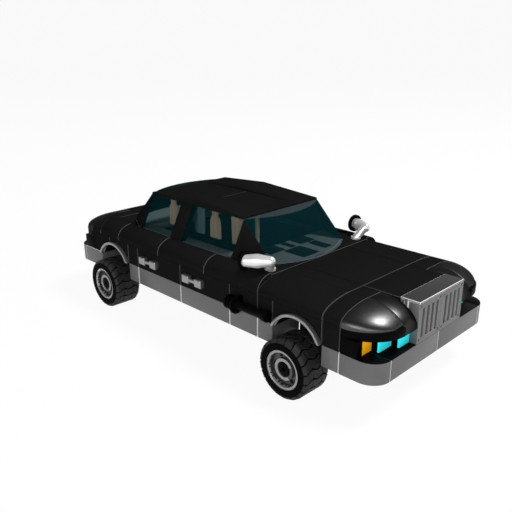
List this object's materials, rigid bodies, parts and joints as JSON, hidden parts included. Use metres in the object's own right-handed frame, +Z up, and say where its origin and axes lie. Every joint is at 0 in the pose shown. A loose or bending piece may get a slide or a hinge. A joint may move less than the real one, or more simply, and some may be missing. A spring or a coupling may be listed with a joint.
{
  "type": "brick-built toy hearse",
  "caption": "Toy hearse built from stud-grid bricks: long black body, tinted cabin with tan curtains, slatted grille and wheels that spin on fixed pins.",
  "frame": {"origin": "on the ground, under the middle of the car's length and width", "axes": "+X forward, +Y to the car's left, +Z up"},
  "size_m": [0.192, 0.096, 0.0602],
  "materials": {
    "black_plastic": "smooth gloss",
    "grey_plastic": "smooth gloss",
    "pale_plastic": "smooth gloss",
    "bright_silver": "polished",
    "clear_teal": "clear tinted",
    "tan_curtain": "matt",
    "lamp_orange": "smooth gloss",
    "lamp_blue": "smooth gloss",
    "lamp_red": "smooth gloss",
    "tyre_rubber": "matt"
  },
  "bodies": {
    "body": {"chassis": "black_plastic", "axle_blocks": "black_plastic", "wheel_well_walls": "black_plastic", "sills_right": "grey_plastic", "sills_left": "grey_plastic", "bumper_front": "grey_plastic", "bumper_rear": "grey_plastic", "flank_right": "black_plastic", "flank_left": "black_plastic", "arch_trims": "bright_silver", "shoulder_right": "black_plastic", "shoulder_left": "black_plastic", "fender_domes_front": "black_plastic", "fender_domes_rear": "black_plastic", "nose_slopes_front": "black_plastic", "nose_slopes_rear": "black_plastic", "lamp_shelves": "black_plastic", "end_core_front": "black_plastic", "end_core_rear": "black_plastic", "lamps_orange": "lamp_orange", "lamps_blue": "lamp_blue", "tail_lamps": "lamp_red", "grille_box": "bright_silver", "grille_panels": "bright_silver", "tailgate_panels": "black_plastic", "bonnet": "black_plastic", "rear_deck": "black_plastic", "cowls": "black_plastic", "dash": "pale_plastic", "parcel_shelf": "pale_plastic", "dash_tiles": "black_plastic", "windscreen": "clear_teal", "rear_window": "clear_teal", "side_glass": "clear_teal", "pillars": "black_plastic", "roof_front": "black_plastic", "roof_rear": "black_plastic", "cabin_floor": "black_plastic", "window_ledges": "pale_plastic", "curtain_rail": "black_plastic", "curtains": "tan_curtain", "mirror_arms": "bright_silver", "mirror_discs": "black_plastic", "door_handles": "bright_silver", "side_bars": "black_plastic", "wheel_holders": "black_plastic"},
    "wheel_front_right": {"rim_front_right": "bright_silver", "tyre_front_right": "tyre_rubber"},
    "wheel_front_left": {"rim_front_left": "bright_silver", "tyre_front_left": "tyre_rubber"},
    "wheel_rear_right": {"rim_rear_right": "bright_silver", "tyre_rear_right": "tyre_rubber"},
    "wheel_rear_left": {"rim_rear_left": "bright_silver", "tyre_rear_left": "tyre_rubber"}
  },
  "joints": [
    {"name": "wheel_front_right_spin", "type": "hinge", "parent": "body", "child": "wheel_front_right", "pos_m": [0.06, -0.041, 0.012], "axis": [0, 1, 0], "continuous": true},
    {"name": "wheel_front_left_spin", "type": "hinge", "parent": "body", "child": "wheel_front_left", "pos_m": [0.06, 0.041, 0.012], "axis": [0, 1, 0], "continuous": true},
    {"name": "wheel_rear_right_spin", "type": "hinge", "parent": "body", "child": "wheel_rear_right", "pos_m": [-0.06, -0.041, 0.012], "axis": [0, 1, 0], "continuous": true},
    {"name": "wheel_rear_left_spin", "type": "hinge", "parent": "body", "child": "wheel_rear_left", "pos_m": [-0.06, 0.041, 0.012], "axis": [0, 1, 0], "continuous": true}
  ]
}
